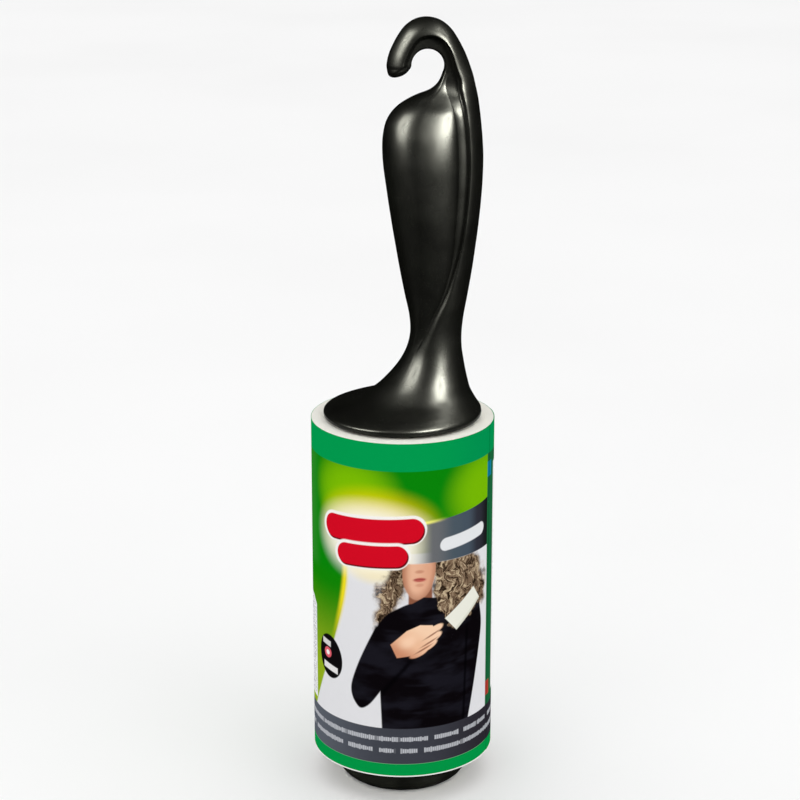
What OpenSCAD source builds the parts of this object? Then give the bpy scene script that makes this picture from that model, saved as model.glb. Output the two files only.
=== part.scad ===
// Lint roller: a hooked two-shell handle, a fixed stem, a free-turning drum and a push-on tape refill.
// Millimetres, +Z up the roll's axis, origin at the centre of the end cap's flat foot.

/* [Tape refill] */
// Width of the tape, along the axis
tape_w = 100; // [90:1:110]
// Outer diameter of the full refill, wrapper included
roll_d = 52; // [50:0.5:56]
// Bore of the cardboard core
core_bore = 38.4; // [38:0.1:39]
// Wall of the cardboard core
core_wall = 1.2; // [1:0.1:1.5]
// Thickness of one sheet of tape
sheet_t = 0.13; // [0.1:0.01:0.2]
// Thickness of the printed wrapper
wrap_t = 0.12; // [0.08:0.01:0.2]

/* [Drum and cap] */
// How far the end cap stands below the tape
cap_h = 9; // [7:0.5:12]
// Outer diameter of the end cap
cap_d = 37.4; // [36.5:0.1:37.6]
// Wall of the drum and the cap
drum_wall = 1.8; // [1.4:0.1:2]
// Number of grip ribs round the drum
rib_count = 6; // [6:3:12]
// Number of spring fingers cut into the drum
finger_count = 3; // [3:3:3]

/* [Stem] */
// Diameter of the stem's two journals
journal_d = 9; // [8:0.5:10]
// Running clearance between journal and bearing, on the radius
run_gap = 0.05; // [0.03:0.01:0.08]

/* [Handle] */
// Wall of the two handle shells round the palm swell
shell_wall = 2; // [1.6:0.1:2.4]
// Radius of the hook's throat
hook_r = 4.4; // [4.2:0.1:4.6]
// Steps between two neighbouring handle sections
loft_steps = 2; // [1:1:3]

/* [Hidden] */
$fn = 96;
eps = 0.01;

// Heights along the axis
tape_z0 = cap_h;
tape_z1 = cap_h + tape_w;
core_short = 0.6;                 // the core ends this far inside the tape
core_z0 = tape_z0 + core_short;
core_z1 = tape_z1 - core_short;
drum_z0 = tape_z0 + 3;
drum_z1 = core_z1;
flange_t = 1.2;                   // core stop on the upper hub
bell_z = tape_z1 + 0.4;           // underside of the handle's bell

// Radii
core_r = core_bore / 2;
tape_r0 = core_r + core_wall;
wrap_r = roll_d / 2;
sheet_r = wrap_r - 2 * wrap_t;    // outside of the first sheet, under the wrapper and its overlap
under_r = sheet_r - sheet_t;      // outside of the second sheet
tape_r1 = under_r - sheet_t;      // outside of the inner turns
drum_r = cap_d / 2 - 0.6;
grip_r = core_r - 0.05;           // ribs and finger pads, just clear of the core
plug_r = drum_r - drum_wall;
flange_r = tape_r0 - 0.3;
journal_r = journal_d / 2;
bearing_r = journal_r + run_gap;

// Lengths inside the drum
hub_h = 8;
lower_hub_z = drum_z0 + 7;
stem_gap = 0.3;                   // end play of the drum on the stem
head_r = 9;                       // hexagon head held between the shells
head_h = 3;
head_z = bell_z + 2.2;
pocket_gap = 0.1;
recess_h = 0.8;                   // recess in the bell that hides the core stop

// Pins that locate the two shells, as places in the parting plane
pin_places = [[9.5, 131], [15.6, 206]];
pin_r = 1.2;
pin_h = 2.2;
pin_slack = 0.1;

// First sheet and wrapper, as angles round the axis: 0 is +X, -90 faces the front
seam_a = -20;                     // free edge of the wrapper
overlap_a = 34;                   // how far the wrapper's end lies over its start
tear_a = 80;                      // tear line of the first sheet
sheet_shift = -12;                // each tear line creeps round from the last
lead_gap_a = 3;

black = [0.035, 0.037, 0.032];
board = [0.66, 0.55, 0.42];
tape_white = [0.93, 0.92, 0.88];
print_green = [0.0, 0.42, 0.18];

// ---------- handle ----------
// The handle is a loft of half sections. A section runs from the handle's outer edge to its inner edge:
//   outer x, outer z, inner x, inner z   ends of the section in the parting plane
//   bead, web                            width of the outer strand and of the groove beside it
//   t_bead, t_web, t_lobe                half thickness of strand, groove and palm lobe
//   round                                0 is the three-part outline, 1 a plain half ellipse
//   hollow                               1 where the palm lobe is hollow
//   rise                                 how far the groove's floor climbs towards the palm lobe
body_rows = [
    [21.2, 109.4, -21.2, 109.4, 33, 0.6, 21.2, 15, 12, 1, 0, 0.1],
    [22, 109.8, -22.1, 109.7, 34, 0.6, 22, 15, 12, 1, 0, 0.1],
    [22.3, 110.6, -22.3, 110.3, 34, 0.6, 22.2, 15, 12, 1, 0, 0.1],
    [22.1, 111.6, -22.1, 111, 34, 0.6, 22, 15, 12, 1, 0, 0.1],
    [21.1, 113.2, -20.3, 111.7, 32, 0.6, 20.4, 14, 11, 1, 0, 0.1],
    [20, 115.1, -16.6, 112.5, 29, 0.6, 18, 12, 10, 1, 0, 0.1],
    [19, 117.2, -12.2, 114.1, 25, 0.6, 15.2, 11, 9, 1, 0, 0.1],
    [18.3, 119.8, -8, 117, 21.5, 0.6, 12.8, 10, 8.4, 1, 0, 0.1],
    [17.7, 122.5, -4.1, 120.9, 18, 0.6, 10.8, 9, 7.8, 1, 0, 0.1],
    [17.1, 125.8, -0.9, 125, 15.2, 0.5, 9.3, 8.1, 7.3, 0.95, 0, 0.1],
    [16.6, 129.2, 1.1, 128.9, 13, 0.5, 8.3, 7.6, 7.2, 0.8, 0, 0.1],
    [16.5, 133.4, 2.1, 133.2, 10.6, 0.4, 7.7, 7.1, 7.1, 0.4, 0, 0.1],
    [17, 138.4, 1.9, 138.4, 8.8, 0.4, 7.4, 6.8, 7.5, 0.1, 0, 0.1],
    [18.1, 144.6, 0.6, 144.6, 6.9, 0.4, 7.2, 6.6, 8.3, 0, 0, 0.1],
    [19.3, 151.8, -0.8, 151.8, 5.8, 0.5, 6.9, 6.3, 9.4, 0, 1, 0.15],
    [20.2, 158.4, -1.95, 158.4, 5, 1, 6.7, 6.15, 10.3, 0, 1, 0.4],
    [20.9, 164, -2.9, 164, 4.7, 1.6, 6.6, 6.1, 10.9, 0, 1, 0.6],
    [21.8, 174, -4.4, 174, 4.6, 1.9, 6.3, 5.85, 11.4, 0, 1, 0.8],
    [22.1, 183, -5.5, 183, 4.6, 2.1, 6.1, 5.65, 11.2, 0, 1, 0.8],
    [21.8, 188.8, -5.4, 189.2, 4.6, 2.1, 5.9, 5.4, 10.2, 0, 1, 0.8],
    [21.4, 193, -4.1, 193.9, 4.6, 2.15, 5.8, 5.2, 8.8, 0, 1, 0.8],
    [21.05, 196, -1.3, 197.3, 4.7, 2.4, 5.6, 4.8, 7.3, 0, 0, 0.8],
    [20.75, 198.2, 3, 199.9, 4.9, 2.8, 5.5, 4.3, 5.7, 0, 0, 0.6],
    [20.45, 200, 7.4, 201.7, 5.1, 3.2, 5.3, 3.7, 4.5, 0, 0, 0.4],
    [20.14, 201.4, 9.6, 203.7, 5.3, 3.3, 5.1, 3, 3.5, 0, 0, 0.3],
];

// The hook turns about hook_c: its throat is an arc, and its outer edge is given in polar form.
hook_c = [6.8, 208.3];
hook_from = -22;
hook_to = 180;
hook_keys = 10;
hook_outer = [
    [-22, 13.97], [-10, 12.36], [0, 11.45], [15, 10.77], [30, 10.6], [45, 11], [60, 11.85], [75, 12.65],
    [90, 13.05], [105, 12.95], [120, 12.3], [135, 11.45], [150, 11], [165, 11], [180, 11.2],
];
// Share of the hook's width that is strand, by angle
hook_share = [
    [-22, 0.56], [-10, 0.64], [0, 0.67], [15, 0.67], [30, 0.62], [50, 0.58], [70, 0.61],
    [90, 0.66], [105, 0.7], [120, 0.77], [138, 0.85], [150, 0.88], [180, 0.86],
];
hook_rise = [[-22, 0.2], [-10, 0.15], [0, 0.1], [180, 0.1]];
hook_edge = 1.5;                  // rounded inner edge
hook_web = 2.4;
tip_len = 3.2;
// Round end of the hook, by drop below its last full section: strand's share, its half thickness, roundness
tip_keys = [0.6, 1.2, 1.8, 2.4, 2.9, 3.15];
tip_share = [[0, 1], [0.6, 0.86], [1.2, 0.6], [1.8, 0.35], [2.4, 0.14], [2.9, 0.06], [3.2, 0.06]];
tip_t = [[0, 4.6], [0.6, 4.4], [1.2, 4.0], [1.8, 3.4], [2.4, 3.0], [2.9, 2.8], [3.2, 2.7]];
tip_round = [[0, 0], [0.6, 0], [1.2, 0.1], [1.8, 0.4], [2.4, 0.8], [2.9, 1], [3.2, 1]];

function hook_row(a, drop = 0) =
    let (
        outer_r = lookup(a, hook_outer),
        mid_r = (outer_r + hook_r) / 2,
        shrink = sqrt(1 - pow(drop / tip_len, 2)),
        half = (outer_r - hook_r) / 2 * shrink,
        dir = [cos(a), sin(a)],
        mid = hook_c + mid_r * dir - [0, drop],
        o = mid + half * dir,
        i = mid - half * dir,
        w = 2 * half,
        bead = lookup(a, hook_share) * lookup(drop, tip_share) * w,
        edge = min(hook_edge * shrink, (w - bead) * 0.75)
    )
    [
        o[0], o[1], i[0], i[1], bead, w - bead - edge,
        lookup(drop, tip_t) * shrink, hook_web * shrink, hook_web * shrink, lookup(drop, tip_round), 0,
        lookup(a, hook_rise) * shrink,
    ];

hook_rows = [for (k = [0:hook_keys - 1]) hook_row(hook_from + (hook_to - hook_from) * k / (hook_keys - 1))];
tip_rows = [for (d = tip_keys) hook_row(hook_to, d)];
key_rows = concat(body_rows, hook_rows, tip_rows);

// Catmull-Rom curve through the key sections
function spline(p, k, t) =
    let (
        n = len(p) - 1,
        a = p[max(k - 1, 0)],
        b = p[k],
        c = p[min(k + 1, n)],
        d = p[min(k + 2, n)]
    )
    (2 * b + (c - a) * t + (2 * a - 5 * b + 4 * c - d) * t * t + (3 * b - 3 * c + d - a) * t * t * t) / 2;

sections = concat(
    [for (k = [0:len(key_rows) - 2], j = [0:loft_steps - 1]) spline(key_rows, k, j / loft_steps)],
    [key_rows[len(key_rows) - 1]]
);

// Half-section outline as [distance from the outer edge, half thickness]
crest = 0.8;                      // place of the strand's crest across it
lobe_crest = 0.5;
fine = 8;                         // points on a long flank
coarse = 4;                       // points on a short one
// Quarter of a superellipse, from its edge up to its crest: keen 1 is an ellipse, more is a keener crest
function flank(w, t, keen, n) =
    [for (k = [0:n - 1]) let (a = 90 * k / n) [w * (1 - pow(cos(a), keen)), t * pow(sin(a), keen)]];
function outline(s) =
    let (
        w = norm([s[0] - s[2], s[1] - s[3]]),
        bead = s[4],
        web = s[5],
        lobe = w - bead - web,
        keen = max(1, min(1.7, 1.7 - 0.25 * (bead - 4.9))),
        up = flank(crest * bead, s[6], keen, fine),
        step = [for (k = [0:coarse - 1]) let (a = 90 * k / coarse)
            [crest * bead + (1 - crest) * bead * sin(a), s[7] + (s[6] - s[7]) * cos(a)]],
        groove = [for (p = flank(web, s[11], 1.2, coarse)) [bead + p[0], s[7] + p[1]]],
        lip = s[7] + s[11],
        rise = [for (k = [0:coarse - 1]) let (a = 90 * k / coarse)
            [bead + web + lobe * lobe_crest * (1 - cos(a)), lip + (s[8] - lip) * sin(a)]],
        down = [for (k = [0:fine]) let (a = 90 * k / fine)
            [w - lobe * (1 - lobe_crest) * (1 - sin(a)), s[8] * cos(a)]],
        parts = concat(up, step, groove, rise, down)
    )
    [for (p = parts) [p[0], (1 - s[9]) * p[1] + s[9] * s[6] * sqrt(max(0, 1 - pow(2 * p[0] / w - 1, 2)))]];

// Half ellipse of the hollow, flat on the parting plane where the handle is solid
hollow_points = 8;
function hollow_arc(s) =
    let (
        w = norm([s[0] - s[2], s[1] - s[3]]),
        from = max(min(s[4] + s[5], w * 0.5), w * 0.25),
        to = w - min(shell_wall, w * 0.2),
        depth = max(0, min(1, s[10])) * (s[8] - shell_wall)
    )
    [for (k = [0:hollow_points]) let (a = 180 * k / hollow_points)
        [(from + to) / 2 + (to - from) / 2 * cos(a), depth * sin(a)]];

function place(s, side, p) =
    let (
        o = [s[0], s[1]],
        along = ([s[2], s[3]] - o) / norm([s[0] - s[2], s[1] - s[3]])
    )
    [o[0] + along[0] * p[0], side * p[1], o[1] + along[1] * p[0]];
function ring_points(s, side) = [for (p = concat(outline(s), hollow_arc(s))) place(s, side, p)];
function heart(s, side) = place(s, side, [0.45 * norm([s[0] - s[2], s[1] - s[3]]), 0.3 * s[7]]);

// Closed skin over rings of equal length, each end closed by a fan about its heart
module skin(rings, hearts, flip) {
    n = len(rings[0]);
    m = len(rings);
    sides = [for (i = [0:m - 2], j = [0:n - 1])
        let (a = i * n + j, b = i * n + (j + 1) % n, c = b + n, d = a + n)
        each [[a, b, c], [a, c, d]]];
    caps = [for (j = [0:n - 1]) let (k = (j + 1) % n)
        each [[k, j, m * n], [(m - 1) * n + j, (m - 1) * n + k, m * n + 1]]];
    faces = [for (f = concat(sides, caps)) flip ? f : [for (j = [len(f) - 1:-1:0]) f[j]]];
    polyhedron(points = concat([for (r = rings, p = r) p], hearts), faces = faces, convexity = 10);
}

// One half of the handle, with the pocket for the stem's head and the recess for the core stop
module half_handle(side) {
    difference() {
        union() {
            skin(
                [for (s = sections) ring_points(s, side)],
                [heart(sections[0], side), heart(sections[len(sections) - 1], side)],
                side < 0
            );
            if (side < 0)
                for (p = pin_places)
                    pin(p, pin_r, pin_h);
        }
        translate([0, 0, bell_z - 1])
            cylinder(r = flange_r + 0.5, h = 1 + recess_h);
        translate([0, 0, head_z - pocket_gap])
            cylinder(r = head_r + pocket_gap, h = head_h + 2 * pocket_gap, $fn = 6);
        translate([0, 0, bell_z - 1])
            cylinder(r = journal_r + pocket_gap, h = head_z - bell_z + 1);
        if (side > 0)
            for (p = pin_places)
                pin(p, pin_r + pin_slack, pin_h + pin_slack);
    }
}

// Locating pin across the parting plane, rooted in the front shell
module pin(p, r, h)
    translate([p[0], h, p[1]])
        rotate([90, 0, 0])
            cylinder(r = r, h = h + 1.5, $fn = 32);

module front_shell() color(black) half_handle(-1);

module rear_shell() color(black) half_handle(1);

// ---------- stem ----------
fin_t = 2.2;
tip_z = lower_hub_z - 5;
barb_r = bearing_r + 0.7;
slot_w = 1.8;

module stem() color(black) {
    difference() {
        union() {
            translate([0, 0, head_z])
                cylinder(r = head_r, h = head_h, $fn = 6);
            translate([0, 0, core_z1 - hub_h - 1])
                cylinder(r = journal_r, h = head_z - core_z1 + hub_h + 1);
            for (a = [45, 135])
                rotate([0, 0, a])
                    translate([-journal_r + 0.3, -fin_t / 2, lower_hub_z + hub_h - 0.5])
                        cube([2 * journal_r - 0.6, fin_t, core_z1 - lower_hub_z - 2 * hub_h]);
            translate([0, 0, tip_z])
                cylinder(r = journal_r - 0.9, h = 4);
            translate([0, 0, lower_hub_z - stem_gap])
                cylinder(r = journal_r, h = hub_h + stem_gap + 1);
            translate([0, 0, tip_z + 0.6])
                cylinder(r1 = journal_r - 0.9, r2 = barb_r, h = 2.8);
            translate([0, 0, tip_z + 3.4])
                cylinder(r = barb_r, h = 5 - 3.4 - stem_gap);
        }
        translate([-slot_w / 2, -barb_r - 1, tip_z - 1])
            cube([slot_w, 2 * barb_r + 2, 10]);
    }
}

// ---------- drum ----------
// Pressed-in hub: outer ring, web and a long bearing boss
module hub(z, web_at, top)
    translate([0, 0, z])
        rotate_extrude()
            polygon([
                [bearing_r, 0], [bearing_r + 2, 0], [bearing_r + 2, web_at], [plug_r - 1.6, web_at],
                [plug_r - 1.6, 0], [plug_r, 0], [plug_r, top], [plug_r - 1.6, top],
                [plug_r - 1.6, web_at + 2], [bearing_r + 2, web_at + 2], [bearing_r + 2, hub_h],
                [bearing_r, hub_h],
            ]);

module upper_hub() color(black) {
    translate([0, 0, core_z1 - hub_h])
        rotate_extrude()
            polygon([
                [bearing_r, 0], [bearing_r + 2, 0], [bearing_r + 2, hub_h - 2], [plug_r - 1.6, hub_h - 2],
                [plug_r - 1.6, 1], [plug_r, 1], [plug_r, hub_h], [flange_r, hub_h],
                [flange_r, hub_h + flange_t - 0.3], [flange_r - 0.3, hub_h + flange_t],
                [bearing_r + 2, hub_h + flange_t], [bearing_r + 2, hub_h + flange_t + 0.3],
                [bearing_r, hub_h + flange_t + 0.3],
            ]);
}

module lower_hub() color(black) hub(lower_hub_z, 3, hub_h - 1);

// Grip finger: a tongue of the drum's wall with a rounded pad, freed by a slot round three sides
finger_w = 9;
finger_h = 26;
finger_z = drum_z0 + 12;
slit = 1;

module drum() color(black) {
    difference() {
        union() {
            translate([0, 0, drum_z0])
                difference() {
                    cylinder(r = drum_r, h = drum_z1 - drum_z0);
                    translate([0, 0, -1])
                        cylinder(r = plug_r, h = drum_z1 - drum_z0 + 2);
                }
            for (k = [0:rib_count - 1])
                rotate([0, 0, (k + 0.5) * 360 / rib_count])
                    intersection() {
                        translate([drum_r - 0.8, -1, drum_z0 + 4])
                            cube([3, 2, drum_z1 - drum_z0 - 10]);
                        cylinder(r = grip_r, h = drum_z1);
                    }
            for (k = [0:finger_count - 1])
                rotate([0, 0, 360 * k / finger_count])
                    intersection() {
                        translate([drum_r - 0.8, -finger_w / 2 + 1, finger_z + 2])
                            cube([3, finger_w - 2, 4]);
                        cylinder(r = grip_r, h = drum_z1);
                    }
        }
        for (k = [0:finger_count - 1])
            rotate([0, 0, 360 * k / finger_count]) {
                for (y = [-1, 1])
                    translate([plug_r - 3, y * (finger_w + slit) / 2 - slit / 2, finger_z - slit])
                        cube([6, slit, finger_h + slit]);
                translate([plug_r - 3, -finger_w / 2 - slit / 2, finger_z - slit])
                    cube([6, finger_w + slit, slit]);
            }
    }
}

// ---------- end cap ----------
cap_r = cap_d / 2;
cap_round = 3.6;
spigot_h = 5;

module end_cap() color(black)
    rotate_extrude()
        difference() {
            union() {
                translate([0, cap_round])
                    square([cap_r, drum_z0 - cap_round]);
                square([cap_r - cap_round, cap_round + eps]);
                translate([cap_r - cap_round, cap_round])
                    intersection() {
                        circle(r = cap_round);
                        translate([0, -cap_round])
                            square(cap_round);
                    }
                square([plug_r - 0.03, drum_z0 + spigot_h]);
            }
            translate([-eps, drum_wall])
                square([plug_r - drum_wall - 1.8 + eps, drum_z0]);
            translate([-eps, cap_round])
                square([plug_r - drum_wall + eps, drum_z0 + spigot_h]);
        }

// ---------- refill ----------
module ring(r0, r1, z0, z1)
    translate([0, 0, z0])
        difference() {
            cylinder(r = r1, h = z1 - z0);
            translate([0, 0, -1])
                cylinder(r = r0, h = z1 - z0 + 2);
        }

module arc_ring(r0, r1, z0, z1, from, sweep)
    rotate([0, 0, from])
        translate([0, 0, z0])
            rotate_extrude(angle = sweep)
                translate([r0, 0])
                    square([r1 - r0, z1 - z0]);

module core_tube() color(board) ring(core_r, tape_r0, core_z0, core_z1 - 0.1);

module tape_roll() color(tape_white) ring(tape_r0, tape_r1, tape_z0, tape_z1);

module second_sheet() color(tape_white)
    arc_ring(tape_r1, under_r, tape_z0, tape_z1, tear_a + sheet_shift, 360 - lead_gap_a);

module first_sheet() color(tape_white)
    arc_ring(under_r, sheet_r, tape_z0, tape_z1, tear_a, 360 - lead_gap_a);

// The sleeve is one layer thick, and two where its free end overlaps its start
module printed_wrapper() color(print_green)
    difference() {
        ring(sheet_r, wrap_r, tape_z0, tape_z1);
        arc_ring(sheet_r + wrap_t, wrap_r + 1, tape_z0 - 1, tape_z1 + 1, seam_a + overlap_a, 360 - overlap_a);
    }

front_shell();
rear_shell();
stem();
upper_hub();
drum();
lower_hub();
end_cap();
core_tube();
tape_roll();
second_sheet();
first_sheet();
printed_wrapper();
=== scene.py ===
import math

import bmesh
import bpy
import numpy as np
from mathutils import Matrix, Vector


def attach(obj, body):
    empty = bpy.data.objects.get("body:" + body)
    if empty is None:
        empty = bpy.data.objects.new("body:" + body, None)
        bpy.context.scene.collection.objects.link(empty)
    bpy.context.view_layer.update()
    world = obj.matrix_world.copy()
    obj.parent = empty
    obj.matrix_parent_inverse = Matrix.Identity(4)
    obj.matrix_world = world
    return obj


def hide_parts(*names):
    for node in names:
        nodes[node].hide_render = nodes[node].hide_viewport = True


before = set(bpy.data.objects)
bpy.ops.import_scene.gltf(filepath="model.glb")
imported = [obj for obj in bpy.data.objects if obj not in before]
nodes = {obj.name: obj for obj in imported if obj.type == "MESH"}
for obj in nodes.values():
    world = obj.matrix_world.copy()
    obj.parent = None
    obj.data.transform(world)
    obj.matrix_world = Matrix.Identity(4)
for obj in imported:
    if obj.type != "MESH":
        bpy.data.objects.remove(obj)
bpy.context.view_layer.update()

MM = 0.001
scene = bpy.context.scene

# ---------- camera, lights and world ----------
LENS, SENSOR = 103.7, 36.0
EYE = (-0.0007, -0.620, 0.309)
LOOK_DOWN = 17.5
cam_data = bpy.data.cameras.new("camera")
cam_data.lens = LENS
cam_data.sensor_width = SENSOR
cam = bpy.data.objects.new("camera", cam_data)
cam.location = EYE
cam.rotation_euler = (math.radians(90 - LOOK_DOWN), 0.0, 0.0)
scene.collection.objects.link(cam)
scene.camera = cam


def softbox(name, place, target, size, power, glossy=True, diffuse=True):
    """An area light that faces target."""
    data = bpy.data.lights.new(name, "AREA")
    data.shape = "RECTANGLE"
    data.size, data.size_y = size
    data.energy = power
    light = bpy.data.objects.new(name, data)
    light.location = place
    light.rotation_euler = (Vector(target) - Vector(place)).to_track_quat("-Z", "Y").to_euler()
    light.visible_glossy = glossy
    light.visible_diffuse = diffuse
    scene.collection.objects.link(light)
    return light


def round_about(azimuth, distance, height):
    """A place at azimuth degrees from the front, positive to the right."""
    a = math.radians(azimuth)
    return (distance * math.sin(a), -distance * math.cos(a), height)


WARM = (1.0, 1.0, 0.86)
# sizes and powers of the nested boxes that make one soft box whose edges fade
NEST = ((1.0, 6), (0.86, 10), (0.72, 15), (0.58, 19), (0.45, 21), (0.33, 19), (0.22, 13))


def shine(name, place, target, size, power):
    """A soft box seen only in the gloss of the plastic."""
    for step, share in NEST:
        nested = (size[0] * step, size[1] * step)
        light = softbox(f"{name}_{step}", place, target, nested, share * power, diffuse=False)
        light.data.color = WARM


# each light below: name, place, target, width and height, and power
AIM = (0, 0, 0.19)
shine("left_low", round_about(-62, 0.8, 0.62), AIM, (0.60, 0.66), 3.3)
shine("left_high", round_about(-40, 0.55, 0.97), AIM, (0.4, 0.6), 0.25)
shine("right_low", round_about(40, 0.8, 0.56), AIM, (0.55, 0.55), 5.2)
shine("right_high", round_about(66, 0.65, 0.86), AIM, (0.5, 0.5), 1.5)
# faint reflectors that lean out from the floor and carry the shine down the handle
LEAN = (0, 0, 0.72)
shine("left_reflector", round_about(-64, 0.5, 0.405), LEAN, (0.45, 0.93), 0.035)
shine("right_reflector", round_about(60, 0.5, 0.405), LEAN, (0.40, 0.93), 0.03)
KEY_AIM, KEY_SIZE = (0, 0, 0.1), (0.7, 0.7)
softbox("key_left", (-0.62, -0.75, 0.75), KEY_AIM, KEY_SIZE, 0.9, glossy=False)
softbox("key_right", (0.75, -0.70, 0.75), KEY_AIM, KEY_SIZE, 1.1, glossy=False)

world = bpy.data.worlds.new("studio")
scene.world = world
world.use_nodes = True
background = world.node_tree.nodes["Background"]
background.inputs["Color"].default_value = (1.0, 1.0, 1.0, 1)
background.inputs["Strength"].default_value = 1.0
# the shine on the plastic comes from the soft boxes alone
world.cycles_visibility.glossy = False
scene.view_settings.view_transform = "Standard"


# ---------- arithmetic for node trees ----------
def linear(rgb):
    """An sRGB colour given as 0 to 255, as Blender's linear RGBA."""
    c = [v / 255 for v in rgb]
    return [v / 12.92 if v <= 0.04045 else ((v + 0.055) / 1.055) ** 2.4 for v in c] + [1.0]


# sockets of a Mix node that mixes colours
MIX_FACTOR, MIX_UNDER, MIX_OVER, MIX_RESULT = 0, 6, 7, 2


class Num:
    """A number flowing through a node tree, so that a mask can be written as arithmetic."""

    def __init__(self, tree, socket):
        self.tree, self.socket = tree, socket

    def math(self, operation, *others):
        """The result of a Math node on this number and others, which are Nums or plain numbers."""
        node = self.tree.nodes.new("ShaderNodeMath")
        node.operation = operation
        self.tree.links.new(self.socket, node.inputs[0])
        for slot, other in enumerate(others, 1):
            if isinstance(other, Num):
                self.tree.links.new(other.socket, node.inputs[slot])
            else:
                node.inputs[slot].default_value = other
        return Num(self.tree, node.outputs[0])

    def __add__(self, o):
        return self.math("ADD", o)

    __radd__ = __add__

    def __sub__(self, o):
        return self.math("SUBTRACT", o)

    def __rsub__(self, o):
        return self.math("MULTIPLY", -1.0).math("ADD", o)

    def __mul__(self, o):
        return self.math("MULTIPLY", o)

    def __truediv__(self, o):
        return self.math("DIVIDE", o)

    def __neg__(self):
        return self.math("MULTIPLY", -1.0)

    def low(self, o):
        """The smaller of the two."""
        return self.math("MINIMUM", o)

    def high(self, o):
        """The larger of the two."""
        return self.math("MAXIMUM", o)

    def size(self):
        """The number without its sign."""
        return self.math("ABSOLUTE")

    def root(self):
        """The square root."""
        return self.math("SQRT")

    def ramp(self, start, end):
        """0 at start and 1 at end, smooth between."""
        node = self.tree.nodes.new("ShaderNodeMapRange")
        node.interpolation_type = "SMOOTHSTEP"
        node.inputs["From Min"].default_value = start
        node.inputs["From Max"].default_value = end
        self.tree.links.new(self.socket, node.inputs["Value"])
        return Num(self.tree, node.outputs["Result"])


class Paint:
    """A material whose colour is laid on in layers."""

    def __init__(self, name, base):
        self.material = bpy.data.materials.new(name)
        self.material.use_nodes = True
        self.tree = self.material.node_tree
        self.shader = self.tree.nodes["Principled BSDF"]
        coords = self.tree.nodes.new("ShaderNodeTexCoord")
        self.place = coords.outputs["Object"]
        self.colour = self.rgb(base)

    def rgb(self, value):
        """A socket that holds one colour."""
        node = self.tree.nodes.new("ShaderNodeRGB")
        node.outputs[0].default_value = linear(value)
        return node.outputs[0]

    def axes(self):
        """x, y and z in millimetres."""
        node = self.tree.nodes.new("ShaderNodeSeparateXYZ")
        self.tree.links.new(self.place, node.inputs[0])
        return [Num(self.tree, s) * 1000.0 for s in node.outputs]

    def point(self, x, y, z=0.0):
        """A place for noise to be read at."""
        node = self.tree.nodes.new("ShaderNodeCombineXYZ")
        for slot, v in zip(node.inputs, (x, y, z)):
            if isinstance(v, Num):
                self.tree.links.new(v.socket, slot)
            else:
                slot.default_value = v
        return node.outputs[0]

    def noise(self, scale, detail=2.0, where=None, distortion=0.0):
        """Smooth noise around 0.5."""
        node = self.tree.nodes.new("ShaderNodeTexNoise")
        node.inputs["Scale"].default_value = scale
        node.inputs["Detail"].default_value = detail
        node.inputs["Distortion"].default_value = distortion
        self.tree.links.new(where or self.place, node.inputs["Vector"])
        return Num(self.tree, node.outputs["Fac"])

    def mix(self, under, over, mask):
        """The socket under with over on it where mask is 1; over is a socket or an sRGB colour."""
        node = self.tree.nodes.new("ShaderNodeMix")
        node.data_type = "RGBA"
        node.clamp_factor = True
        self.tree.links.new(mask.socket, node.inputs[MIX_FACTOR])
        self.tree.links.new(under, node.inputs[MIX_UNDER])
        if isinstance(over, tuple):
            node.inputs[MIX_OVER].default_value = linear(over)
        else:
            self.tree.links.new(over, node.inputs[MIX_OVER])
        return node.outputs[MIX_RESULT]

    def lay(self, colour, mask):
        """Add a layer of colour where mask is 1."""
        self.colour = self.mix(self.colour, colour, mask)

    def gradient(self, value, stops):
        """A colour along value: stops are (value, colour)."""
        colour = self.rgb(stops[0][1])
        for (a, _), (b, over) in zip(stops, stops[1:]):
            colour = self.mix(colour, over, value.ramp(a, b))
        return colour

    def finish(self, roughness, bump, strength, distance, specular):
        """The finished material: roughness and bump are Nums, the rest are constants."""
        link = self.tree.links.new
        link(self.colour, self.shader.inputs["Base Color"])
        link(roughness.socket, self.shader.inputs["Roughness"])
        node = self.tree.nodes.new("ShaderNodeBump")
        node.inputs["Strength"].default_value = strength
        node.inputs["Distance"].default_value = distance
        link(bump.socket, node.inputs["Height"])
        link(node.outputs["Normal"], self.shader.inputs["Normal"])
        self.shader.inputs["Specular IOR Level"].default_value = specular
        return self.material


# ---------- plain materials ----------
def gloss_black(name, rough=0.24, base=(6, 6, 5)):
    """Moulded black plastic with a soft shine, a slight unevenness and a few specks of dust."""
    p = Paint(name, base)
    p.lay((10, 11, 8), p.noise(90.0, 3.0).ramp(0.35, 0.7))
    p.lay((26, 26, 22), p.noise(900.0, 2.0).ramp(0.72, 0.80) * 0.35)
    roughness = p.noise(140.0, 4.0) * 0.10 + p.noise(1500.0, 1.0).ramp(0.6, 0.8) * 0.03 + (rough - 0.05)
    bump = p.noise(60.0, 2.0) * 1.0 + p.noise(2500.0, 2.0) * 0.012
    return p.finish(roughness, bump, 0.25, 0.0004, specular=0.085)


def matt_black(name):
    """Fine-textured black plastic for the parts inside the roll."""
    p = Paint(name, (20, 20, 19))
    p.lay((26, 26, 25), p.noise(200.0, 3.0).ramp(0.4, 0.7))
    roughness = p.noise(400.0, 3.0) * 0.2 + 0.38
    return p.finish(roughness, p.noise(3000.0, 2.0), 0.3, 0.0002, specular=0.03)


SPIRAL_PITCH = 62.0


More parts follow.
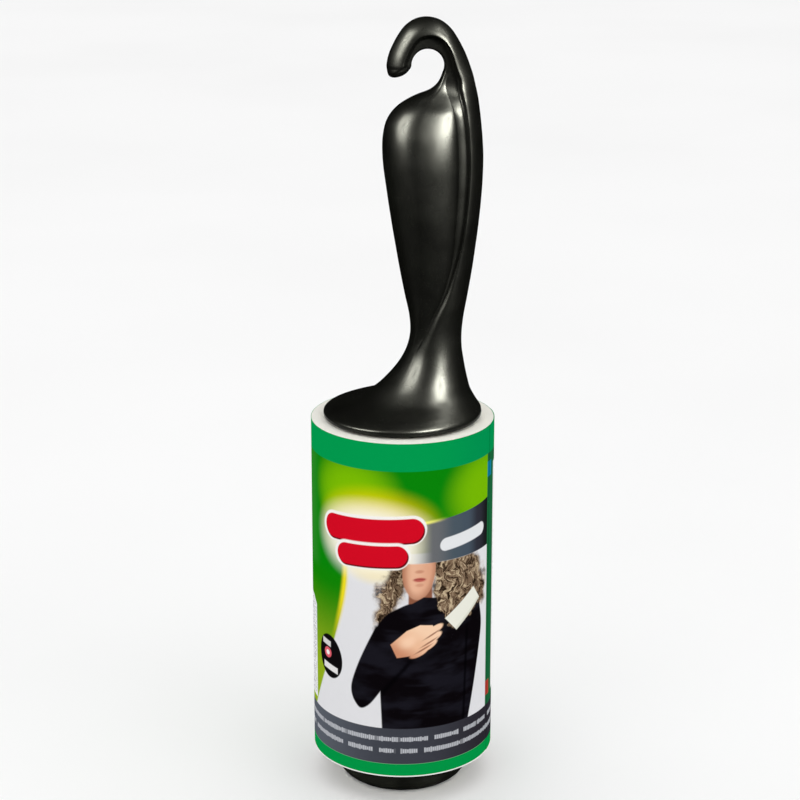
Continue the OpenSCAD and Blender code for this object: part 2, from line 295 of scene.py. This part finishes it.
def board(name):
    """Grey-brown cardboard with a spiral winding seam and fibres."""
    p = Paint(name, (171, 146, 112))
    x, y, z = p.axes()
    turn = y.math("ARCTAN2", x) / (2 * math.pi)
    spiral = (z / SPIRAL_PITCH + turn).math("FRACT")
    seam = (spiral - 0.5).size().ramp(0.012, 0.004)
    fibres = p.noise(1.0, 4.0, p.point(x * 0.9, y * 0.9, z * 0.15))
    p.lay((146, 121, 90), fibres.ramp(0.4, 0.75))
    p.lay((196, 172, 138), p.noise(1800.0, 2.0).ramp(0.62, 0.75) * 0.6)
    p.lay((108, 86, 60), seam * 0.8)
    return p.finish(fibres * 0.15 + 0.75, fibres * 0.4 - seam, 0.5, 0.0002, specular=0.04)


TURN_THICKNESS = 0.26
TAPE_INSIDE = 20.4


def tape(name):
    """Wound tape: a smooth tacky face outside and fine turns at the ends."""
    p = Paint(name, (240, 239, 233))
    x, y, _ = p.axes()
    radius = (x * x + y * y).root()
    turns = (radius * (2 * math.pi / TURN_THICKNESS) + y.math("ARCTAN2", x)).math("SINE") * 0.5 + 0.5
    grain = p.noise(1200.0, 3.0)
    streaks = p.noise(1.0, 3.0, p.point(radius * 3.0, 0.0))
    p.lay((226, 222, 210), turns * 0.45 + streaks.ramp(0.4, 0.7) * 0.35)
    p.lay((196, 182, 154), (radius - TAPE_INSIDE).ramp(0.9, 0.0) * 0.7)
    p.lay((245, 244, 240), grain.ramp(0.5, 0.8) * 0.4)
    return p.finish(grain * 0.2 + 0.42, turns + grain * 0.5, 0.35, 0.00012, specular=0.04)


def dress(node, material):
    """Give a piece of the frame one material."""
    nodes[node].data.materials.clear()
    nodes[node].data.materials.append(material)


shell_black = gloss_black("shell_black")
# the end cap's base is painted lighter than the handle's: a painted reflection standing in for the sheen the
# world no longer gives its gloss
cap_black_painted_sheen = gloss_black("cap_black_painted_sheen", 0.3, (30, 31, 26))
inner_black = matt_black("inner_black")
white_tape = tape("white_tape")
for name in ("stem", "upper_hub", "drum", "lower_hub"):
    dress(name, inner_black)
dress("end_cap", cap_black_painted_sheen)
dress("core_tube", board("core_board"))
for name in ("tape_roll", "second_sheet", "first_sheet"):
    dress(name, white_tape)

# ---------- handle shells ----------
# Sections of the handle in millimetres, from its outer edge to its inner edge in the parting plane:
# outer x, outer z, inner x, inner z, width of strand, width of groove,
# half thickness of strand, groove and lobe, how round the outline is, and climb of the groove's floor
BODY = [
    (21.2, 109.4, -21.2, 109.4, 33, 0.6, 21.2, 15, 12, 1, 0.1),
    (22, 109.8, -22.1, 109.7, 34, 0.6, 22, 15, 12, 1, 0.1),
    (22.3, 110.6, -22.3, 110.3, 34, 0.6, 22.2, 15, 12, 1, 0.1),
    (22.1, 111.6, -22.1, 111, 34, 0.6, 22, 15, 12, 1, 0.1),
    (21.1, 113.2, -20.3, 111.7, 32, 0.6, 20.4, 14, 11, 1, 0.1),
    (20, 115.1, -16.6, 112.5, 29, 0.6, 18, 12, 10, 1, 0.1),
    (19, 117.2, -12.2, 114.1, 25, 0.6, 15.2, 11, 9, 1, 0.1),
    (18.3, 119.8, -8, 117, 21.5, 0.6, 12.8, 10, 8.4, 1, 0.1),
    (17.7, 122.5, -4.1, 120.9, 18, 0.6, 10.8, 9, 7.8, 1, 0.1),
    (17.1, 125.8, -0.9, 125, 15.2, 0.5, 9.3, 8.1, 7.3, 0.95, 0.1),
    (16.6, 129.2, 1.1, 128.9, 13, 0.5, 8.3, 7.6, 7.2, 0.8, 0.1),
    (16.5, 133.4, 2.1, 133.2, 10.6, 0.4, 7.7, 7.1, 7.1, 0.4, 0.1),
    (17, 138.4, 1.9, 138.4, 8.8, 0.4, 7.4, 6.8, 7.5, 0.1, 0.1),
    (18.1, 144.6, 0.6, 144.6, 6.9, 0.4, 7.2, 6.6, 8.3, 0, 0.1),
    (19.3, 151.8, -0.8, 151.8, 5.8, 0.5, 6.9, 6.3, 9.4, 0, 0.15),
    (20.2, 158.4, -1.95, 158.4, 5, 1, 6.7, 6.15, 10.3, 0, 0.4),
    (20.9, 164, -2.9, 164, 4.7, 1.6, 6.6, 6.1, 10.9, 0, 0.6),
    (21.8, 174, -4.4, 174, 4.6, 1.9, 6.3, 5.85, 11.4, 0, 0.8),
    (22.1, 183, -5.5, 183, 4.6, 2.1, 6.1, 5.65, 11.2, 0, 0.8),
    (21.8, 188.8, -5.4, 189.2, 4.6, 2.1, 5.9, 5.4, 10.2, 0, 0.8),
    (21.4, 193, -4.1, 193.9, 4.6, 2.15, 5.8, 5.2, 8.8, 0, 0.8),
    (21.05, 196, -1.3, 197.3, 4.7, 2.4, 5.6, 4.8, 7.3, 0, 0.8),
    (20.75, 198.2, 3, 199.9, 4.9, 2.8, 5.5, 3.9, 5.1, 0, 0.6),
    (20.45, 200, 7.4, 201.7, 5.1, 3.2, 5.3, 3, 3.6, 0, 0.2),
    (20.14, 201.4, 9.6, 203.7, 5.3, 3.3, 5.1, 2.5, 2.8, 0, 0),
]
# The hook turns about HOOK, from its root at -22 degrees over the top to its tip at 180 degrees.
# Its curves are (angles, values): its outer radius, and the strand's share of its width.
# THROAT is its inner radius, HOOK_WEB the half thickness beside the strand, HOOK_EDGE the inner edge's width.
HOOK = np.array([6.8, 208.3])
HOOK_ROOT, HOOK_TIP, HOOK_STEPS = -22, 180, 22
THROAT = 4.4
HOOK_OUTER = (
    (-22, -10, 0, 15, 30, 45, 60, 75, 90, 105, 120, 135, 150, 165, 180),
    (13.97, 12.36, 11.45, 10.77, 10.6, 11, 11.85, 12.65, 13.05, 12.95, 12.3, 11.45, 11, 11, 11.2),
)
HOOK_SHARE = (
    (-22, -10, 0, 15, 30, 50, 70, 90, 105, 120, 138, 150, 180),
    (0.56, 0.64, 0.67, 0.67, 0.62, 0.58, 0.61, 0.66, 0.7, 0.77, 0.85, 0.88, 0.86),
)
HOOK_WEB = 2.4
HOOK_EDGE = 1.5
# The tip hangs TIP below the end of the turn; its end is cut on a slant, lower on its outer side.
TIP = 3.2
TIP_SLANT, SLANT_DROP, INNER_SLANT = 0.36, 1.8, 0.5
TIP_STEPS = (0.3, 0.6, 0.9, 1.2, 1.5, 1.8, 2.1, 2.4, 2.65, 2.87, 3.05, 3.16)
TIP_DROP = (0, 0.6, 1.2, 1.8, 2.4, 2.9, 3.2)
TIP_SHARE = (1, 0.86, 0.6, 0.35, 0.14, 0.06, 0.06)
TIP_THICK = (4.6, 4.4, 4.0, 3.4, 3.0, 2.8, 2.7)
TIP_ROUND = (0, 0, 0.1, 0.4, 0.8, 1, 1)


def hermite(s, start, end, start_slope, end_slope):
    """A cubic from start to end as s goes from 0 to 1."""
    a, b = 2 * s**3 - 3 * s**2 + 1, s**3 - 2 * s**2 + s
    c, d = -2 * s**3 + 3 * s**2, s**3 - s**2
    return a * start + b * start_slope + c * end + d * end_slope


def curve(x, xs, ys):
    """A smooth curve through the points (xs, ys)."""
    xs, ys = np.array(xs, float), np.array(ys, float)
    slope = np.gradient(ys, xs)
    k = int(np.clip(np.searchsorted(xs, x) - 1, 0, len(xs) - 2))
    h = xs[k + 1] - xs[k]
    return hermite((x - xs[k]) / h, ys[k], ys[k + 1], h * slope[k], h * slope[k + 1])


def hook_row(angle, drop=0.0):
    """One section of the hook, as in BODY; past the end of the turn it drops into the round tip."""
    outer = curve(angle, *HOOK_OUTER)
    shrink = math.sqrt(1 - (drop / TIP) ** 2)
    half = (outer - THROAT) / 2 * shrink
    way = np.array([math.cos(math.radians(angle)), math.sin(math.radians(angle))])
    middle = HOOK + (outer + THROAT) / 2 * way - (0, drop)
    slant = np.array([0.0, half * TIP_SLANT * min(drop / SLANT_DROP, 1)])
    o, i = middle + half * way - slant, middle - half * way + INNER_SLANT * slant
    strand = curve(angle, *HOOK_SHARE) * np.interp(drop, TIP_DROP, TIP_SHARE) * 2 * half
    edge = min(HOOK_EDGE * shrink, (2 * half - strand) * 0.75)
    thick = (np.interp(drop, TIP_DROP, TIP_THICK), HOOK_WEB, HOOK_WEB)
    plain = np.interp(drop, TIP_DROP, TIP_ROUND)
    return (*o, *i, strand, 2 * half - strand - edge, *(t * shrink for t in thick), plain, 0)


def smooth_rows(steps):
    """The key sections joined by Catmull-Rom curves whose speed follows the sections' spacing."""
    rows = list(BODY)
    rows += [hook_row(a) for a in np.linspace(HOOK_ROOT, HOOK_TIP, HOOK_STEPS)]
    rows += [hook_row(HOOK_TIP, d) for d in TIP_STEPS]
    p = np.array(rows, float)
    middle = (p[:, :2] + p[:, 2:4]) / 2
    gap = np.linalg.norm(np.diff(middle, axis=0), axis=1)
    t = np.concatenate([[0], np.cumsum(np.sqrt(np.maximum(gap, 0.05)))])
    slope = np.gradient(p, t, axis=0)
    out = []
    for k in range(len(p) - 1):
        h = t[k + 1] - t[k]
        for s in np.arange(steps) / steps:
            out.append(hermite(s, p[k], p[k + 1], h * slope[k], h * slope[k + 1]))
    return out + [p[-1]]


# where the crest lies in the strand's width
CREST = 0.77
# a thin strand has a keen crest and a wide one is an ellipse
KEENEST, KEEN_WIDTH, KEEN_FALL = 1.35, 4.9, 0.13
CLIMB_KEEN = 1.2


def flank(width, height, keen, points):
    """Quarter of a superellipse from its edge to its crest; keen 1 is an ellipse."""
    a = np.radians(np.linspace(0, 90, points, endpoint=False))
    return np.stack([width * (1 - np.cos(a) ** keen), height * np.sin(a) ** keen], 1)


def outline(row):
    """Half section as distances from the outer edge and half thicknesses."""
    width = math.hypot(row[0] - row[2], row[1] - row[3])
    strand, groove, ts, tg, tl, plain, rise = row[4:]
    strand = max(strand, 0.02 * width)
    groove = max(groove, 0.1)
    lobe = max(width - strand - groove, 0.05 * width)
    strand = width - groove - lobe
    keen = min(KEENEST, max(1.0, KEENEST - KEEN_FALL * (strand - KEEN_WIDTH)))
    pts = [flank(CREST * strand, ts, keen, 26)]
    # from the strand's crest down to the groove's floor
    b = np.linspace(0, 1, 10, endpoint=False)
    fall = tg + (ts - tg) * (0.5 + 0.5 * np.cos(math.pi * b))
    pts.append(np.stack([strand * (CREST + (1 - CREST) * b), fall], 1))
    pts.append(flank(groove, rise, CLIMB_KEEN, 12) + (strand, tg))
    # up the lobe and down to the inner edge
    lip = tg + rise
    a = np.radians(np.linspace(0, 90, 22, endpoint=False))
    pts.append(np.stack([strand + groove + lobe / 2 * (1 - np.cos(a)), lip + (tl - lip) * np.sin(a)], 1))
    c = np.radians(np.linspace(0, 90, 28))
    pts.append(np.stack([width - lobe / 2 * (1 - np.sin(c)), tl * np.cos(c)], 1))
    p = np.concatenate(pts)
    ellipse = ts * np.sqrt(np.clip(1 - (2 * p[:, 0] / width - 1) ** 2, 0, 1))
    p[:, 1] = (1 - plain) * p[:, 1] + plain * ellipse
    return p, width


# the edge where the two halves meet: how far and how deep it is eased, and half the gap left
EASE, EASE_DEPTH, HALF_GAP = 0.07, 0.35, 0.03
# the flat back of a half: its points, their inset from the edges, and the width under which that shrinks
BACK_POINTS, BACK_INSET, NARROW = 6, 0.8, 3


def ring(row):
    """A closed section of one half: x, distance from the parting plane, and z."""
    p, width = outline(row)
    o = np.array(row[:2])
    along = (np.array(row[2:4]) - o) / width
    ease = EASE * np.clip(1 - p[:, 1] / EASE_DEPTH, 0, 1)
    d = np.where(p[:, 0] < width / 2, p[:, 0] + ease, p[:, 0] - ease)
    y = np.maximum(p[:, 1], HALF_GAP)
    inset = BACK_INSET if width > NARROW else width / 4
    d = np.append(d, np.linspace(width - inset, inset, BACK_POINTS))
    y = np.append(y, np.full(BACK_POINTS, HALF_GAP))
    return np.stack([o[0] + along[0] * d, y, o[1] + along[1] * d], 1)


def shell(name, side):
    """One half of the handle as a closed loft, its edge eased where the two halves meet."""
    bm = bmesh.new()
    rings = []
    for row in smooth_rows(5):
        rings.append([bm.verts.new((x * MM, side * y * MM, z * MM)) for x, y, z in ring(row)])
    n = len(rings[0])
    for lower, upper in zip(rings, rings[1:]):
        for k in range(n):
            quad = [lower[k], lower[(k + 1) % n], upper[(k + 1) % n], upper[k]]
            bm.faces.new(quad)
    for end in (rings[0], rings[-1]):
        centre = sum((v.co for v in end), Vector()) / n
        hub = bm.verts.new(centre)
        for k in range(n):
            bm.faces.new([end[k], end[(k + 1) % n], hub])
    bmesh.ops.recalc_face_normals(bm, faces=bm.faces)
    mesh = bpy.data.meshes.new(name)
    bm.to_mesh(mesh)
    bm.free()
    mesh.shade_smooth()
    mesh.set_sharp_from_angle(angle=math.radians(50))
    obj = bpy.data.objects.new(name, mesh)
    scene.collection.objects.link(obj)
    obj.data.materials.append(shell_black)
    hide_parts(name.replace("_skin", ""))
    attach(obj, "handle")
    return obj


shell("front_shell_skin", -1)
shell("rear_shell_skin", 1)

# ---------- floor ----------
floor_paint = Paint("pale_floor", (247, 247, 247))
floor_paint.lay((243, 243, 243), floor_paint.noise(3.0, 3.0).ramp(0.3, 0.8))
floor_rough, floor_grain = floor_paint.noise(40.0) * 0.1 + 0.75, floor_paint.noise(800.0)
floor_material = floor_paint.finish(floor_rough, floor_grain, 0.05, 0.0005, specular=0.0)
FLOOR_SIDE, FLOOR_NEAR, FLOOR_FAR, FLOOR_DROP = 6, -6, 9, 0.0001
corners = [(x, y, 0) for x, y in (
    (-FLOOR_SIDE, FLOOR_NEAR), (FLOOR_SIDE, FLOOR_NEAR), (FLOOR_SIDE, FLOOR_FAR), (-FLOOR_SIDE, FLOOR_FAR))]
mesh = bpy.data.meshes.new("floor")
mesh.from_pydata(corners, [], [(0, 1, 2, 3)])
floor = bpy.data.objects.new("floor", mesh)
floor.location.z = -FLOOR_DROP
floor.data.materials.append(floor_material)
scene.collection.objects.link(floor)
floor.visible_glossy = False

# ---------- printed wrapper ----------
# Places on the print are (u, z) in millimetres; u runs round the roll to the right, from the front's middle.
ROLL_R = 26.0
BAND_TOP = 101.0
FOOT, GREY_FOOT, GREY_TOP = 9.35, 13.0, 24.0
PANEL_TOP = 74.0
BANNER_TOP, BANNER_SLOPE = 85.2, 0.1
BAR_SLOPE = 0.055
STRIP, STRIP_BACK = 30.5, -62.0
# widths of a letter, an upright line of fine print and a line of text, and bar code cells to a millimetre
LETTER, COLUMN, LINE, BAR_CODE = 0.62, 1.35, 1.9, 3.1


class Print(Paint):
    """Flat artwork: shapes in (u, z), each laid on with a soft edge."""

    def __init__(self, name, base):
        super().__init__(name, base)
        x, y, self.z = self.axes()
        self.u = x.math("ARCTAN2", -y) * ROLL_R

    def on(self, colour, distance, soft=0.12, strength=1.0):
        """Lay colour where distance is positive."""
        self.lay(colour, distance.ramp(-soft, soft) * strength)

    def half(self, p, q, u=None, z=None):
        """Distance to the left of the line from p to q."""
        du, dz = q[0] - p[0], q[1] - p[1]
        size = math.hypot(du, dz)
        a, b = -dz / size, du / size
        c = -(a * p[0] + b * p[1])
        return (z or self.z).math("MULTIPLY_ADD", b, (u or self.u).math("MULTIPLY_ADD", a, c))

    def poly(self, points, u=None, z=None, ease=0.0):
        """Distance inside a convex outline given anticlockwise, its corners eased."""
        inside = None
        for p, q in zip(points, points[1:] + points[:1]):
            d = self.half(p, q, u, z)
            if inside is None:
                inside = d
            else:
                inside = inside.math("SMOOTH_MIN", d, ease) if ease else inside.low(d)
        return inside

    def oval(self, cu, cz, ru, rz, tilt=0.0):
        """Distance inside an oval, roughly."""
        c, s = math.cos(math.radians(tilt)), math.sin(math.radians(tilt))
        du, dz = self.u - cu, self.z - cz
        a, b = du * (c / ru) + dz * (s / ru), dz * (c / rz) - du * (s / rz)
        return (1.0 - (a * a + b * b).root()) * min(ru, rz)

    def pill(self, cu, cz, half_u, half_z, slope):
        """Distance inside a sloping bar with round ends."""
        du = self.u - cu
        dz = self.z - cz - du * slope
        out = (du.size() - (half_u - half_z)).high(0.0)
        return half_z - (out * out + dz * dz).root()

    def bar(self, cu, cz, half_u, half_z, slope=0.0):
        """Distance inside a level or sloping bar with blunt ends."""
        du = self.u - cu
        dz = (self.z - cz - du * slope).size()
        return (half_z - dz).low(half_u - du.size())

    def glow(self, colour, cu, cz, ru, rz, strength=1.0):
        """Lay colour in an oval that fades out to its edge."""
        du, dz = (self.u - cu) / ru, (self.z - cz) / rz
        self.lay(colour, (du * du + dz * dz).ramp(1.0, 0.0) * strength)

    def words(self, row, height, seed):
        """A line of print too small to read: uneven strokes in groups."""
        cell = (self.u / LETTER).math("FLOOR")
        stroke = 0.40 - ((self.u / LETTER).math("FRACT") - 0.5).size()
        group = self.noise(1.0, 0.0, self.point(cell * 0.19, seed)) - 0.38
        tall = self.noise(1.0, 0.0, self.point(cell * 1.73, seed + 4.0)) * height + 0.35 * height
        return (stroke * LETTER).low(group * 4.0).low(tall - (self.z - row).size())


def between(value, low, high):
    """Distance inside the range from low to high."""
    return (value - low).low(high - value)


def green_field(p):
    """Green ground with lime and yellow glows, paler towards its foot."""
    p.glow((122, 184, 4), -15, 93, 17, 14, 0.95)
    p.glow((120, 183, 5), 27, 92, 17, 15, 0.9)
    p.glow((228, 205, 12), -8, 83, 22, 15)
    p.lay((44, 132, 40), p.u.ramp(-27.5, -35.0) * 0.8)
    low = p.gradient(p.z, [(34.0, (141, 168, 30)), (66.0, (16, 127, 6))])
    p.lay(low, (70.0 - p.z).ramp(0.0, 4.0))


def pale_panel(p):
    """Pale panel with a yellow rim on its curved side, and glows behind the red bars."""
    u, z = p.u, p.z
    drop = (70.0 - z).high(0.0) / 44.0
    rim = u + 17.0 + drop.math("POWER", 1.6) * 15.0
    p.on((219, 219, 222), rim.low(PANEL_TOP + 3.0 - z), 0.35)
    rim_fade = z.ramp(44.0, 64.0) * (PANEL_TOP - z).ramp(-2.0, 0.0)
    p.lay((232, 214, 36), (rim + 0.4).size().ramp(1.7, 0.0) * rim_fade)
    p.glow((236, 206, 40), -8, 75.5, 13, 9, 0.95)
    p.glow((246, 244, 236), -9, 80, 22, 14)


LEFT_HAIR = [
    (-7.4, 54.0), (-4.6, 54.8), (-1.6, 61.0), (1.8, 68.0),
    (2.2, 75.5), (-1.5, 75.5), (-6.6, 67.5), (-8.3, 59.5),
]
RIGHT_HAIR = [
    (8.5, 61.0), (10.5, 57.0), (17.5, 55.5), (28.6, 58.5),
    (29.0, 66.0), (25.5, 72.0), (20.5, 75.5), (8.5, 75.5),
]
FRONT_HAIR = [
    (12.8, 55.6), (15.6, 52.5), (18.8, 54.5), (28.2, 57.8),
    (27.6, 64.0), (18.0, 66.0), (10.2, 66.0), (11.0, 60.0),
]
TORSO = [
    (-5.9, 22.0), (21.2, 22.0), (23.9, 34.7), (27.3, 47.5), (27.2, 53.0), (25.6, 59.4),
    (18.5, 62.2), (1.5, 62.2), (-4.5, 59.0), (-7.4, 55.0), (-7.0, 44.0),
]
ARM = [
    (-12.6, 28.9), (-9.0, 30.6), (-6.4, 34.6), (1.5, 45.5), (-2.0, 52.0),
    (-7.4, 55.6), (-10.8, 49.0), (-14.8, 39.5), (-15.9, 35.0), (-15.0, 31.4),
]
NECK = [(1.6, 60.5), (8.6, 60.5), (8.4, 69.0), (1.8, 69.0)]
COLLAR = [(-0.2, 59.0), (11.4, 59.0), (10.4, 66.2), (6.0, 63.9), (1.0, 64.6)]
SMALL_STEM = [(9.0, 53.6), (9.6, 52.4), (15.4, 56.0), (14.8, 57.2)]
SMALL_ROLL = [(12.4, 56.7), (16.3, 52.4), (25.8, 59.6), (22.9, 63.8)]
PALM = [
    (-3.4, 49.8), (-1.6, 45.8), (2.2, 46.4), (6.8, 49.0),
    (10.4, 52.4), (8.6, 55.2), (5.0, 55.6), (1.2, 54.0),
]


def face(p, below):
    """The lower part of a calm, plain face, cut off where below turns negative."""
    skin = p.gradient(p.u, [(0.0, (196, 138, 108)), (3.0, (226, 176, 146)), (8.5, (214, 158, 128))])
    oval = p.oval(4.7, 72.0, 4.7, 8.6, -4.0)
    p.on((136, 86, 64), p.poly(NECK), 0.3)
    p.on(skin, oval.low(below), 0.3)
    edge = oval.ramp(1.6, 0.0) * oval.ramp(-0.1, 0.2)
    p.lay((168, 112, 86), edge * below.ramp(-0.1, 0.1) * 0.6)
    p.glow((176, 112, 86), 4.8, 71.6, 1.7, 0.7, 0.6)
    p.on((176, 74, 70), p.oval(4.8, 69.2, 1.75, 0.62), 0.25, 0.9)
    p.on((110, 48, 46), p.bar(4.8, 69.3, 1.6, 0.10), 0.12, 0.8)
    p.glow((186, 122, 96), 4.8, 67.6, 1.6, 0.7, 0.5)


def jumper(p):
    """A dark roll-neck jumper with folds and a dark line beside each arm."""
    u, z = p.u, p.z
    torso, arm = p.poly(TORSO, ease=1.2), p.poly(ARM, ease=2.0)
    cloth = p.noise(60.0, 3.0, p.point(u * 0.001, z * 0.0025))
    knit = p.gradient(cloth, [(0.42, (10, 7, 10)), (0.62, (24, 23, 30))])
    p.on(knit, torso.high(arm).high(p.poly(COLLAR)), 0.22)
    folds = p.noise(1.0, 2.0, p.point(u * 0.06 + z * 0.05, z * 0.30)).ramp(0.55, 0.75)
    p.lay((40, 40, 50), folds * torso.ramp(0.5, 3.0) * 0.4)
    right_line = p.half((19.0, 22.0), (20.5, 58.0)).size().ramp(0.9, 0.0)
    p.lay((4, 3, 5), right_line * torso.ramp(0.0, 2.0) * z.ramp(56.0, 50.0) * 0.8)
    left_line = p.half((-6.5, 34.0), (2.5, 45.0)).size().ramp(1.2, 0.0)
    p.lay((4, 3, 5), left_line * arm.high(torso).ramp(0.0, 1.0) * u.ramp(5.0, 1.0) * 0.8)


def figure(p):
    """A plain figure with long wavy hair, cut off at the top of the panel."""
    u, z = p.u, p.z
    below = PANEL_TOP - z
    wave_u = p.noise(260.0, 3.0) - 0.5
    wave_z = p.noise(300.0, 3.0, p.point(z * 0.001, u * 0.001, 0.3)) - 0.5
    hair_u, hair_z = u + wave_u * 6.5, z + wave_z * 6.5
    curl = p.noise(760.0, 3.0, p.point(hair_u * 0.001, hair_z * 0.0006), distortion=1.3)
    locks = p.gradient(curl, [(0.36, (40, 29, 20)), (0.50, (118, 96, 76)), (0.68, (196, 176, 144))])
    left, right, front = (p.poly(h, hair_u, hair_z) for h in (LEFT_HAIR, RIGHT_HAIR, FRONT_HAIR))
    p.on(locks, left.high(right).low(below * 6.0), 1.3)
    p.lay((60, 46, 30), left.ramp(0.0, 1.0) * u.ramp(-5.0, 1.5) * below.ramp(-0.1, 0.1) * 0.5)
    face(p, below)
    jumper(p)
    p.on(locks, front.low(p.noise(260.0, 2.0) * 6.0 - 2.2), 0.4)


def held_roller(p):
    """A hand with a little roller."""
    roll = p.poly(SMALL_ROLL)
    p.on((20, 18, 20), p.poly(SMALL_STEM), 0.15)
    p.on((228, 228, 216), roll, 0.15)
    shade = p.half(SMALL_ROLL[1], SMALL_ROLL[2]).ramp(1.3, 0.2)
    p.lay((206, 206, 190), shade * roll.ramp(0.0, 0.2) * 0.7)
    stops = [(46.0, (198, 136, 104)), (52.0, (232, 184, 150)), (58.0, (240, 202, 170))]
    flesh = p.gradient(p.u * 0.6 + p.z, stops)
    hand = p.poly(PALM)
    for cu, cz in ((9.0, 53.6), (8.6, 51.3), (7.2, 49.1), (4.8, 47.4)):
        hand = hand.high(p.oval(cu, cz, 3.1, 1.15, 28.0))
    p.on(flesh, hand, 0.18)
    for cu, cz in ((8.6, 52.4), (7.7, 50.1), (5.9, 48.2)):
        p.on((126, 72, 52), p.oval(cu, cz, 2.6, 0.24, 28.0), 0.16, 0.8)
    p.lay((250, 216, 186), p.oval(1.6, 50.6, 3.0, 2.0, 30.0).ramp(-0.5, 1.6) * 0.45)


def banner(p):
    """Grey banner that fades in from the left, with a pale bar for its word."""
    u = p.u
    stops = [
        (3.0, (150, 150, 138)), (9.0, (101, 103, 106)), (16.0, (72, 84, 94)),
        (20.0, (68, 80, 92)), (25.0, (46, 47, 56)), (30.0, (24, 25, 26)),
    ]
    grey = p.gradient(u, stops)
    under_top = BANNER_TOP + u * BANNER_SLOPE - p.z
    p.lay(grey, (p.z - PANEL_TOP).low(under_top).ramp(-0.12, 0.12) * u.ramp(1.0, 9.0))
    p.lay((240, 236, 120), under_top.size().ramp(0.8, 0.0) * u.ramp(1.0, 5.0) * u.ramp(14.0, 6.0))
    p.on((222, 224, 226), p.pill(19.4, 79.5, 8.6, 1.9, BANNER_SLOPE), 0.2)


def red_bars(p):
    """Two red bars with pale rims and dark shadows."""
    for cu, cz, half_u, half_z in ((-9.6, 83.2, 15.6, 3.5), (-9.4, 75.8, 10.8, 3.1)):
        p.on((238, 236, 232), p.pill(cu, cz, half_u + 0.9, half_z + 0.9, BAR_SLOPE), 0.25)
        p.on((104, 10, 20), p.pill(cu + 0.35, cz - 0.45, half_u, half_z, BAR_SLOPE), 0.15)
        p.on((204, 12, 34), p.pill(cu, cz, half_u, half_z, BAR_SLOPE), 0.15)


def sticker(p):
    """Black oval sticker with a plain icon."""
    p.on((14, 12, 14), p.oval(-24.0, 42.0, 5.2, 6.6, 12.0), 0.15)
    p.on((206, 204, 204), p.bar(-25.6, 45.9, 2.0, 0.85, -0.12), 0.15)
    p.on((214, 92, 104), p.oval(-25.0, 42.9, 1.7, 1.6), 0.15)
    p.on((236, 230, 230), p.oval(-25.0, 42.9, 0.8, 0.75), 0.12)
    p.on((222, 220, 220), p.bar(-23.8, 38.6, 3.2, 0.95, -0.12), 0.15)


def side_print(p):
    """Pale block with upright lines of fine print, one of its corners cut off."""
    u, z = p.u, p.z
    block = between(u, -47.0, -32.3).low(between(z, 26.0, 57.0)).low(p.half((-32.3, 55.0), (-36.3, 57.6)))
    p.on((232, 232, 234), block, 0.15)
    column = ((u / COLUMN).math("FRACT") - 0.5).size()
    ink = p.noise(1.0, 2.0, p.point((u / COLUMN).math("FLOOR") * 3.7, z * 1.9)) - 0.46
    text = (0.30 - column).low(ink)
    p.lay((120, 120, 128), text.ramp(0.0, 0.06) * block.ramp(0.6, 0.9) * 0.8)


def seam_strip(p):
    """Dark green strip right of the seam with a blue and a red mark, and the pale ground of the back."""
    strip = p.u - STRIP
    p.on((26, 96, 56), strip.high(STRIP_BACK - p.u), 0.08)
    p.on((16, 120, 150), strip.low(33.4 - p.u).low(between(p.z, 94.0, 98.5)), 0.1)
    p.on((168, 60, 48), strip.low(33.2 - p.u).low(between(p.z, 27.0, 31.5)), 0.1)
    p.on((226, 228, 226), between(p.u, 36.0, 70.0).low(between(p.z, 27.0, 97.0)), 0.15)


def back_panel(p):
    """Rules for lines of text, three pictures and a bar code."""
    u, z = p.u, p.z
    block = between(u, 38.0, 68.0).low(between(z, 46.0, 76.0))
    lines = ((z / LINE).math("FRACT") - 0.5).size()
    ink = p.noise(1.0, 2.0, p.point(u * 1.1, (z / LINE).math("FLOOR") * 4.3)) - 0.42
    p.lay((112, 116, 120), (0.24 - lines).low(ink).ramp(0.0, 0.06) * block.ramp(0.0, 0.3) * 0.85)
    for cu in (43.5, 53.0, 62.5):
        p.on((24, 140, 70), p.bar(cu, 86.5, 4.0, 5.6), 0.15)
        p.on((232, 236, 230), p.oval(cu, 86.5, 2.6, 2.6), 0.15)
        p.on((92, 98, 104), p.bar(cu, 86.5, 1.7, 0.7, 0.5), 0.15)
    code = p.noise(1.0, 0.0, p.point((u * BAR_CODE).math("FLOOR") * 1.7, 3.0)).ramp(0.49, 0.51)
    p.lay((18, 18, 20), code * p.bar(58.0, 36.5, 9.0, 6.2).ramp(-0.1, 0.1))


def bands(p):
    """Green bands at the top and foot, a grey band with two lines of print, and a white edge."""
    u, z = p.u, p.z
    p.on((2, 148, 75), z - BAND_TOP, 0.1)
    p.lay((2, 134, 78), (z - BAND_TOP).ramp(-0.1, 0.1) * u.ramp(6.0, 30.0) * u.ramp(80.0, 40.0) * 0.6)
    stops = [(-34.0, (88, 93, 102)), (0.0, (61, 63, 71)), (30.0, (42, 39, 46)), (81.0, (88, 93, 102))]
    p.on(p.gradient(u, stops), (GREY_TOP - z).low(z - GREY_FOOT), 0.1)
    for row, seed in ((20.7, 3.0), (17.1, 8.0)):
        p.on((190, 192, 198), p.words(row, 0.75, seed), 0.14, 0.9)
    p.on((3, 146, 68), GREY_FOOT - z, 0.1)
    p.on((240, 240, 238), FOOT - z, 0.06)


def wrapper_print():
    """The whole print, laid on layer by layer."""
    p = Print("wrapper_print", (9, 127, 10))
    for layer in (green_field, pale_panel, figure, held_roller, banner, red_bars,
                  sticker, side_print, seam_strip, back_panel, bands):
        layer(p)
    grain = p.noise(700.0, 2.0)
    sheen = p.noise(45.0, 2.0) * 0.12 + grain * 0.06 + 0.46
    creases = p.noise(26.0, 2.0, p.point(p.u * 0.002, p.z * 0.0006)) + grain * 0.02
    return p.finish(sheen, creases, 0.35, 0.0005, specular=0.0)


dress("printed_wrapper", wrapper_print())
